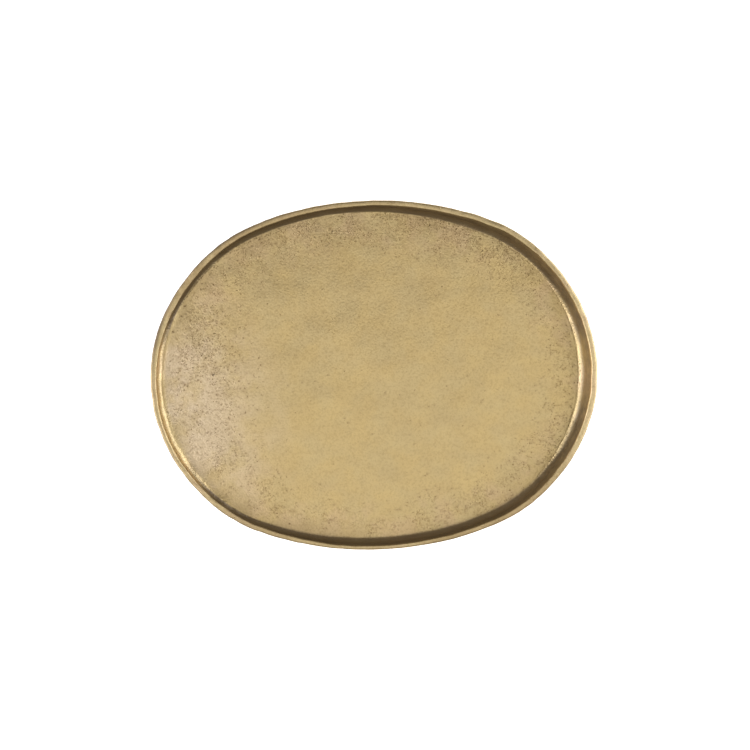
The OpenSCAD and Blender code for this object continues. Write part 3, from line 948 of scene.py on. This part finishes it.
def pit_lumps(tree, given):
    """Lumps on points of the casting. The square of chance sizes them, so that large ones are rare."""
    share, above, large = pit_share(tree)
    points = put(tree, "GeometryNodeDistributePointsOnFaces",
                 {"Mesh": given["Casting"], "Selection": above, "Distance Min": given["Pit Spacing"],
                  "Density Max": given["Pits Per M2"], "Density Factor": share, "Seed": given["Seed"]},
                 distribute_method="POISSON")
    ball = put(tree, "GeometryNodeMeshIcoSphere", {"Radius": given["Pit Radius"], "Subdivisions": 1})
    lift = put(tree, "ShaderNodeMath", {0: given["Pit Radius"], 1: LUMP_RISE}, operation="MULTIPLY")
    raised = put(tree, "GeometryNodeTransform",
                 {"Geometry": ball, "Translation": put(tree, "ShaderNodeCombineXYZ", {2: lift})})
    lump = put(tree, "GeometryNodeStoreNamedAttribute", {"Geometry": raised, "Name": "pit", "Value": 1.0},
               data_type="FLOAT", domain="FACE")
    luck = put(tree, "FunctionNodeRandomValue", {8: given["Seed"]}, data_type="FLOAT_VECTOR")
    spin = put(tree, "ShaderNodeVectorMath", {0: luck, 1: LUMP_TURN}, operation="MULTIPLY")
    turn = put(tree, "FunctionNodeRotateRotation", {0: points.outputs["Rotation"], 1: spin},
               rotation_space="LOCAL")
    rare = put(tree, "ShaderNodeVectorMath", {0: luck, 1: luck}, operation="MULTIPLY")
    size = put(tree, "ShaderNodeVectorMath", {0: rare, 1: LUMP_SPREAD, 2: LUMP_LEAST},
               operation="MULTIPLY_ADD")
    size = put(tree, "ShaderNodeVectorMath", {0: size, "Scale": large}, operation="SCALE")
    narrow = put(tree, "ShaderNodeMath", {0: 1.0, 1: given["Stretch"]}, operation="DIVIDE")
    drawn = put(tree, "ShaderNodeCombineXYZ", {0: given["Stretch"], 1: narrow, 2: 1.0})
    size = put(tree, "ShaderNodeVectorMath", {0: size, 1: drawn}, operation="MULTIPLY")
    lumps = put(tree, "GeometryNodeInstanceOnPoints",
                {"Points": points, "Instance": lump, "Rotation": turn, "Scale": size})
    return put(tree, "GeometryNodeRealizeInstances", {0: lumps})


print("lumps rise", LUMP_RISE, "of their radius above the skin")

# %% Geometry Nodes for the pits
PITS_PER_M2 = 700000
PIT_RADIUS = 0.75 * MM
# the seed of each round, the least distance between its pits, and how far they are drawn out
PIT_ROUNDS = ((11, 1.5 * MM, 1.1), (12, 2.0 * MM, 1.7))


def pit_tree():
    tree, given = new_tree("cast_pits", casting=("INPUT", "Geometry"), seed=("INPUT", "Int"),
                           pits_per_m2=("INPUT", "Float"), pit_spacing=("INPUT", "Float"),
                           pit_radius=("INPUT", "Float"), stretch=("INPUT", "Float"),
                           pitted=("OUTPUT", "Geometry"))
    whole = put(tree, "GeometryNodeSetShadeSmooth", {"Geometry": given["Casting"]})
    cut = put(tree, "GeometryNodeMeshBoolean", {"Mesh 1": whole, "Mesh 2": pit_lumps(tree, given)},
              solver="MANIFOLD")

    # an edge with a pit on one side only is a brink
    in_pit = put(tree, "GeometryNodeInputNamedAttribute", {"Name": "pit"}, data_type="FLOAT")
    brink = put(tree, "FunctionNodeCompare", {0: in_pit, 1: 0.5, "Epsilon": 0.3}, operation="EQUAL")
    crisp = put(tree, "GeometryNodeSetShadeSmooth",
                {"Geometry": cut, "Selection": brink, "Shade Smooth": False}, domain="EDGE")
    marked = put(tree, "GeometryNodeSetShadeSmooth",
                 {"Geometry": crisp, "Selection": in_pit, "Shade Smooth": False})

    # the distances are stored after the cut, because a Boolean gives new vertices none
    gap = put(tree, "GeometryNodeGroup", node_tree=rim_gap).outputs["Gap"]
    foot = put(tree, "GeometryNodeGroup", node_tree=rim_reach).outputs["Foot"]
    foot_gap = put(tree, "ShaderNodeMath", {0: gap, 1: foot}, operation="SUBTRACT")
    for name, value in (("rim_gap", gap), ("foot_gap", foot_gap)):
        marked = put(tree, "GeometryNodeStoreNamedAttribute",
                     {"Geometry": marked, "Name": name, "Value": value}, data_type="FLOAT")

    # cast brass all over, and ground brass on the flat underside
    facing = put(tree, "ShaderNodeSeparateXYZ", {0: put(tree, "GeometryNodeInputNormal")}).outputs["Z"]
    under = put(tree, "FunctionNodeCompare", {0: facing, 1: -0.95}, operation="LESS_THAN")
    height = put(tree, "ShaderNodeSeparateXYZ", {0: put(tree, "GeometryNodeInputPosition")}).outputs["Z"]
    low = put(tree, "FunctionNodeCompare", {0: height, 1: UNDERSIDE_Z + 0.5 * MM}, operation="LESS_THAN")
    sole = put(tree, "FunctionNodeBooleanMath", {0: under, 1: low}, operation="AND")
    solid = put(tree, "GeometryNodeRealizeInstances", {0: marked})
    coated = put(tree, "GeometryNodeSetMaterial", {"Geometry": solid, "Material": brass})
    coated = put(tree, "GeometryNodeSetMaterial",
                 {"Geometry": coated, "Selection": sole, "Material": underside_brass})
    put(tree, "NodeGroupOutput", {0: coated})
    return tree


pit_nodes = pit_tree()
for seed, spacing, stretch in PIT_ROUNDS:
    casting = apply_tree(casting, pit_nodes, seed=seed, pits_per_m2=PITS_PER_M2, pit_spacing=spacing,
                         pit_radius=PIT_RADIUS, stretch=stretch)
casting.name = "cast_tray"
tell(casting)
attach(casting, "root")
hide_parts("tray_casting")

# %% [markdown]
# ## Felt and adhesive film
#
# The tray stands on pads of pressed wool. Pressed felt has no weave: dark and paler fibres lie every way,
# so the eye gets a dull, slightly furry brown with no gloss, only a pale sheen where light grazes it. Every
# stray fibre carries its own shade as an attribute. The pads are stuck on with a thin film that came off
# a paper backing, so it is pale, smooth and a little streaky.

# %% Felt and film materials
TUFT_MM = 0.5
FILM_MM = 3
FILM_PULL = (1, 0.25, 1)


def wool_felt():
    material, tree = new_material("wool_felt_brown")
    point = put(tree, "ShaderNodeTexCoord").outputs["Object"]
    mm = put(tree, "ShaderNodeVectorMath", {0: point, "Scale": 1 / MM}, operation="SCALE")
    tuft = put(tree, "ShaderNodeTexNoise", {"Vector": mm, "Scale": 1 / TUFT_MM, "Detail": 3})
    patch = put(tree, "ShaderNodeTexNoise", {"Vector": mm, "Scale": 1 / (8 * TUFT_MM), "Detail": 2})
    shade = put(tree, "ShaderNodeAttribute", attribute_name="fibre_shade").outputs["Fac"]
    lit = put(tree, "ShaderNodeMath", {0: patch, 1: 0.5, 2: shade}, operation="MULTIPLY_ADD")
    lit = put(tree, "ShaderNodeMath", {0: tuft, 1: 0.7, 2: lit}, operation="MULTIPLY_ADD")
    mixed = put(tree, "ShaderNodeMapRange", {0: lit, 1: 0.2, 2: 1.2})
    colour = put(tree, "ShaderNodeMix", {0: mixed, 6: linear("#3E3128"), 7: linear("#6E5A48")},
                 data_type="RGBA")
    bump = put(tree, "ShaderNodeBump", {"Strength": 0.6, "Distance": 0.15 * MM, "Height": tuft})
    shader = put(tree, "ShaderNodeBsdfPrincipled", {
        "Base Color": colour.outputs[2], "Roughness": 0.95, "Sheen Weight": 0.15, "Normal": bump})
    put(tree, "ShaderNodeOutputMaterial", {"Surface": shader})
    return material


def adhesive_film():
    material, tree = new_material("acrylic_adhesive_film")
    point = put(tree, "ShaderNodeTexCoord").outputs["Object"]
    mm = put(tree, "ShaderNodeVectorMath", {0: point, "Scale": 1 / MM}, operation="SCALE")
    pulled = put(tree, "ShaderNodeVectorMath", {0: mm, 1: FILM_PULL}, operation="MULTIPLY")
    streak = put(tree, "ShaderNodeTexNoise", {"Vector": pulled, "Scale": 1 / FILM_MM, "Detail": 3})
    colour = put(tree, "ShaderNodeMix", {0: streak, 6: linear("#DDD8CC"), 7: linear("#C9C1AE")},
                 data_type="RGBA")
    rough = put(tree, "ShaderNodeMapRange", {0: streak, 1: 0.3, 2: 0.7, 3: 0.3, 4: 0.55})
    bump = put(tree, "ShaderNodeBump", {"Strength": 0.3, "Distance": 0.05 * MM, "Height": streak})
    shader = put(tree, "ShaderNodeBsdfPrincipled", {
        "Base Color": colour.outputs[2], "Roughness": rough, "Normal": bump})
    put(tree, "ShaderNodeOutputMaterial", {"Surface": shader})
    return material


felt = wool_felt()
film = adhesive_film()
print("materials:", felt.name, film.name)

# %% [markdown]
# ## The pads
#
# A pad is a disc punched from a sheet. Cloth simulation suits a cover with a filling, and pressed felt is a
# dense block, so its section is swept round a circle instead. Its side bulges a little under the load and
# its surface is uneven. Then short bent fibres are scattered over the side and the sole, and those below
# are pressed flat. Real fibres are about 0.03 mm thick. They are drawn at 0.05 mm, so that they still show.

# %% Section of a pad
PAD_EDGE = 0.4 * MM
PAD_BULGE = 0.2 * MM


def pad_section(radius, thickness):
    """The half section of a pad, from the middle of its top round its side to the middle of its sole."""
    high = arc((-PAD_EDGE, thickness - PAD_EDGE), PAD_EDGE, 90, 0, 4)
    low = arc((-PAD_EDGE, PAD_EDGE), PAD_EDGE, 0, -90, 4)
    edge = high + line(high[-1], low[0], 5) + low
    bulged = [(x + PAD_BULGE * math.sin(math.pi * z / thickness), z) for x, z in edge]
    top = [(-radius, thickness)] + line((-radius, thickness), bulged[0], 8)
    sole = line(bulged[-1], (-radius, 0), 8) + [(-radius, 0)]
    return top + bulged + sole


print("a pad's side bulges by", PAD_BULGE / MM, "mm")

# %% Stray fibres
# all in shares of a fibre's length
FIBRE_ROOT = (0, 0, -0.15)
FIBRE_BEND = (0.1, 0, 0.45)
FIBRE_TIP = (0.9, 0.2, 0.3)
FIBRE_RADIUS = 0.045


def stray_fibres(tree, given, body):
    """Short fibres on the side and the sole, each bent, turned, sized and shaded by chance."""
    facing = put(tree, "ShaderNodeSeparateXYZ", {0: put(tree, "GeometryNodeInputNormal")}).outputs["Z"]
    bare = put(tree, "FunctionNodeCompare", {0: facing, 1: 0.3}, operation="LESS_THAN")
    density = put(tree, "ShaderNodeMath", {0: given["Fibres Per Mm2"], 1: 1e6}, operation="MULTIPLY")
    points = put(tree, "GeometryNodeDistributePointsOnFaces",
                 {"Mesh": body, "Selection": bare, "Density": density, "Seed": given["Seed"]})
    bend = put(tree, "GeometryNodeCurveQuadraticBezier",
               {"Resolution": 4, "Start": FIBRE_ROOT, "Middle": FIBRE_BEND, "End": FIBRE_TIP})
    strand = put(tree, "GeometryNodeCurvePrimitiveCircle", {"Resolution": 3, "Radius": FIBRE_RADIUS})
    fibre = put(tree, "GeometryNodeCurveToMesh",
                {"Curve": bend, "Profile Curve": strand, "Fill Caps": True})
    luck = put(tree, "FunctionNodeRandomValue", {8: given["Seed"]}, data_type="FLOAT_VECTOR")
    spin = put(tree, "ShaderNodeVectorMath", {0: luck, 1: (0.5, 0.5, 44)}, operation="MULTIPLY")
    turn = put(tree, "FunctionNodeRotateRotation", {0: points.outputs["Rotation"], 1: spin},
               rotation_space="LOCAL")
    size = put(tree, "FunctionNodeRandomValue", {2: 0.5, 3: 1.3, 8: given["Seed"]}, data_type="FLOAT")
    size = put(tree, "ShaderNodeMath", {0: size.outputs[1], 1: given["Fibre Length"]}, operation="MULTIPLY")
    fibres = put(tree, "GeometryNodeInstanceOnPoints",
                 {"Points": points, "Instance": fibre, "Rotation": turn, "Scale": size})
    shade = put(tree, "FunctionNodeRandomValue", {2: -0.2, 3: 0.5, 8: given["Seed"]}, data_type="FLOAT")
    tinted = put(tree, "GeometryNodeStoreNamedAttribute",
                 {"Geometry": fibres, "Name": "fibre_shade", "Value": shade.outputs[1]},
                 data_type="FLOAT", domain="INSTANCE")
    return put(tree, "GeometryNodeRealizeInstances", {0: tinted})


print("a fibre is", 2 * FIBRE_RADIUS, "of its length thick")

# %% Geometry Nodes for a pad
PAD_STEPS = 72
PAD_UNEVEN = (0.4 * MM, 0.4 * MM, 0.1 * MM)
PRESSED = 0.15 * MM
FIBRES_PER_MM2 = 5
FIBRE_LENGTH = 0.6 * MM


def pad_tree():
    tree, given = new_tree("felt_pad", section=("INPUT", "Geometry"), pad_radius=("INPUT", "Float"),
                           middle=("INPUT", "Vector"), seed=("INPUT", "Int"),
                           fibre_length=("INPUT", "Float"), fibres_per_mm2=("INPUT", "Float"),
                           pad=("OUTPUT", "Geometry"))
    rail = put(tree, "GeometryNodeCurvePrimitiveCircle",
               {"Resolution": PAD_STEPS, "Radius": given["Pad Radius"]})
    rail = put(tree, "GeometryNodeReverseCurve", {"Curve": rail})
    level = put(tree, "GeometryNodeSetCurveNormal", {"Curve": rail}, mode="Z_UP")
    disc = put(tree, "GeometryNodeCurveToMesh", {"Curve": level, "Profile Curve": given["Section"]})
    closed = put(tree, "GeometryNodeMergeByDistance", {"Geometry": disc, "Distance": 0.005 * MM})

    # an uneven surface
    place = put(tree, "GeometryNodeInputPosition")
    mm = put(tree, "ShaderNodeVectorMath", {0: place, "Scale": 1 / MM}, operation="SCALE")
    rough = put(tree, "ShaderNodeTexNoise", {"Vector": mm, "W": given["Seed"], "Scale": 0.7, "Detail": 3},
                noise_dimensions="4D")
    centred = put(tree, "ShaderNodeVectorMath", {0: rough.outputs["Color"], 1: (0.5, 0.5, 0.5)},
                  operation="SUBTRACT")
    shake = put(tree, "ShaderNodeVectorMath", {0: centred, 1: PAD_UNEVEN}, operation="MULTIPLY")
    uneven = put(tree, "GeometryNodeSetPosition", {"Geometry": closed, "Offset": shake})
    furry = put(tree, "GeometryNodeJoinGeometry", {0: uneven})
    tree.links.new(stray_fibres(tree, given, uneven).outputs[0], furry.inputs[0])

    # the fibres below are pressed flat, and the pad moves to its place
    axes = put(tree, "ShaderNodeSeparateXYZ", {0: place}).outputs
    flat = put(tree, "ShaderNodeMapRange", {0: axes["Z"], 1: -0.5 * MM, 2: PRESSED, 3: 0.0, 4: PRESSED})
    low = put(tree, "FunctionNodeCompare", {0: axes["Z"], 1: PRESSED}, operation="LESS_THAN")
    lain = put(tree, "ShaderNodeCombineXYZ", {0: axes["X"], 1: axes["Y"], 2: flat})
    pressed = put(tree, "GeometryNodeSetPosition", {"Geometry": furry, "Selection": low, "Position": lain})
    smooth = put(tree, "GeometryNodeSetShadeSmooth", {"Geometry": pressed})
    placed = put(tree, "GeometryNodeTransform", {"Geometry": smooth, "Translation": given["Middle"]})
    end_tree(tree, placed, felt)
    return tree


pad_nodes = pad_tree()
print("felt pad:", len(pad_nodes.nodes), "nodes")

# %% Punch and place the pads
CORNERS = ("rear_right", "rear_left", "front_left", "front_right")

for number, corner in enumerate(CORNERS):
    low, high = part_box("felt_pad_" + corner)
    pad_radius = (high[0] - low[0]) / 2 - PAD_BULGE
    outline = draw_curve("pad_section", pad_section(pad_radius, high[2] - low[2]))
    pad = apply_tree(outline, pad_nodes, pad_radius=pad_radius, seed=number, fibre_length=FIBRE_LENGTH,
                     middle=((low[0] + high[0]) / 2, (low[1] + high[1]) / 2, low[2]),
                     fibres_per_mm2=FIBRES_PER_MM2)
    pad.name = "felt_" + corner
    tell(pad)
    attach(pad, "root")
    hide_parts("felt_pad_" + corner)
    for film_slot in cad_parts["adhesive_disc_" + corner].material_slots:
        film_slot.material = film

# %% [markdown]
# ## Floor, light and camera
#
# The tray lies on white paper under one large soft light overhead. Two cool soft boxes stand at the left,
# one high and one low, and one stands at the right. Brass shows what it reflects: the floor of the tray
# shows the overhead light, the cove at each end shows the boxes at the far end as a bright line, and the
# long walls face nothing bright, so they stay brown. The paper glows only for the camera and in
# reflections, so it is white all over and doesn't light the tray from below. The camera stands almost
# overhead, a little to the left.

# %% White paper
PAPER_SIDE = 8.0
PAPER_GLOW = 0.8

paper_mesh = bpy.data.meshes.new("paper")
half = PAPER_SIDE / 2
paper_mesh.from_pydata([(-half, -half, 0), (half, -half, 0), (half, half, 0), (-half, half, 0)], [],
                       [(0, 1, 2, 3)])
paper = bpy.data.objects.new("paper", paper_mesh)
bpy.context.collection.objects.link(paper)


def white_paper():
    material, tree = new_material("white_paper")
    rays = put(tree, "ShaderNodeLightPath").outputs
    seen = rays["Is Camera Ray"]
    for other in (rays["Is Glossy Ray"], rays["Is Transmission Ray"]):
        seen = put(tree, "ShaderNodeMath", {0: seen, 1: other}, operation="MAXIMUM")
    glow = put(tree, "ShaderNodeMath", {0: seen, 1: PAPER_GLOW}, operation="MULTIPLY")
    sheet = put(tree, "ShaderNodeBsdfDiffuse", {"Color": linear("#F2F2F2")})
    light = put(tree, "ShaderNodeEmission", {"Color": linear("#FFFFFF"), "Strength": glow})
    both = put(tree, "ShaderNodeAddShader", {0: sheet, 1: light})
    put(tree, "ShaderNodeOutputMaterial", {"Surface": both})
    return material


paper.data.materials.append(white_paper())
print("paper:", PAPER_SIDE, "m square")

# %% Light
ROOM_LIGHT = (0.16, 0.142, 0.11, 1)
COOL = (1, 1.02, 1.17)
COOLER = (1, 1.04, 1.18)
TRAY = (0, 0, 0)

world = bpy.data.worlds.new("studio")
bpy.context.scene.world = world
world.use_nodes = True
world.node_tree.nodes["Background"].inputs["Color"].default_value = ROOM_LIGHT


def soft_box(name, place, aim, size, radiance, turn=0, tint=(1, 1, 1)):
    """A rectangular lamp at a place, aimed at a point. Its power follows from its size and brightness."""
    lamp = bpy.data.lights.new(name, "AREA")
    lamp.shape = "RECTANGLE"
    lamp.color = tint
    lamp.size, lamp.size_y = size
    lamp.energy = radiance * size[0] * size[1] * math.pi
    obj = bpy.data.objects.new(name, lamp)
    obj.location = place
    aimed = (Vector(aim) - Vector(place)).to_track_quat("-Z", "Y")
    obj.rotation_euler = (aimed @ Quaternion((0, 0, 1), math.radians(turn))).to_euler()
    bpy.context.collection.objects.link(obj)


soft_box("overhead", (0.4, -0.62, 2.2), aim=(0.4, -0.62, 0), size=(3.1, 2.1), radiance=1.03, turn=13)
soft_box("left", (-1.5, 0.0, 1.75), aim=TRAY, size=(2.1, 1.35), radiance=4.1, tint=COOL)
soft_box("left_low", (-2.2, 0.0, 0.75), aim=TRAY, size=(2.2, 1.3), radiance=2.2, tint=COOL)
soft_box("right", (1.77, 0.25, 0.9), aim=TRAY, size=(2.0, 1.4), radiance=3.3, tint=COOLER)
bpy.context.scene.view_settings.view_transform = "Standard"

# %% Camera
# heights in metres, angles in degrees, the lens and the sensor in millimetres
CAMERA_HEIGHT = 1.6
LEAN_LEFT = 8.0
LEAN_BACK = 1.7
ROLL = -1.465
LENS = 97.07
SENSOR = 36
AIM = Vector((-2.12 * MM, 0.55 * MM, LIP_Z))

camera_data = bpy.data.cameras.new("camera")
camera_data.lens = LENS
camera_data.sensor_width = SENSOR
camera = bpy.data.objects.new("camera", camera_data)
stand = Vector((-CAMERA_HEIGHT * math.tan(math.radians(LEAN_LEFT)),
                CAMERA_HEIGHT * math.tan(math.radians(LEAN_BACK)), CAMERA_HEIGHT + LIP_Z))
look = (AIM - stand).normalized()
right = look.cross(Vector((0, 1, 0))).normalized()
turned = Matrix((right, right.cross(look), -look)).transposed().to_4x4()
camera.matrix_world = Matrix.Translation(stand) @ turned @ Matrix.Rotation(math.radians(ROLL), 4, "Z")
bpy.context.collection.objects.link(camera)
bpy.context.scene.camera = camera
print("camera at", [round(c, 3) for c in stand])
